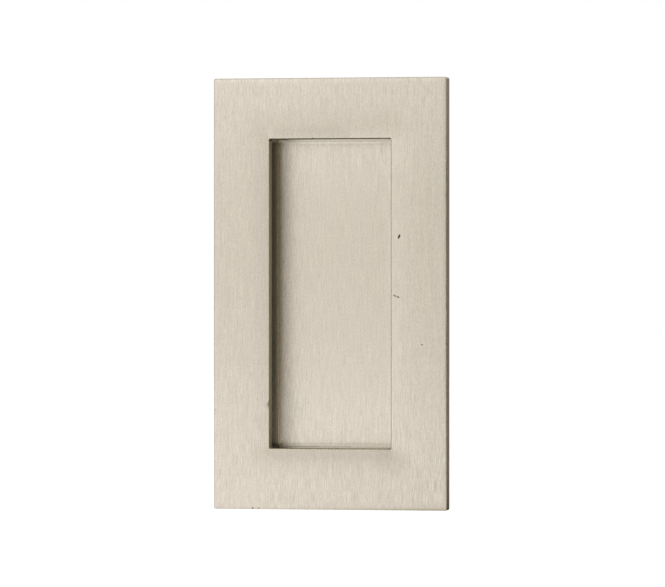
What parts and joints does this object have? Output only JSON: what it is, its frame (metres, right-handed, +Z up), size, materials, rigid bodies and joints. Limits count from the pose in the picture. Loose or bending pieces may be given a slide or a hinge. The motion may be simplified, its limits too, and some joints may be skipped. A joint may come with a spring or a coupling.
{
  "type": "pocket door pull",
  "caption": "Rectangular flush pull for a sliding pocket door: a thick satin metal plate with a rectangular finger opening, and a shallow tray behind it that sits in the door.",
  "frame": {"origin": "centre of the plane of the plate's back, which lies on the door's face", "axes": "+Z up the plate's length, as the picture shows it; +X across the plate, to the right as seen from the room; +Y into the door, so the finger opening faces -Y"},
  "size_m": [0.058, 0.0112, 0.105],
  "materials": {
    "plate": "satin nickel plate over solid brass, brushed along the length",
    "tray": "satin nickel plate over brass sheet, floor brushed along the length"
  },
  "bodies": {
    "root": {"face_plate": "plate", "finger_tray": "tray"}
  },
  "joints": []
}
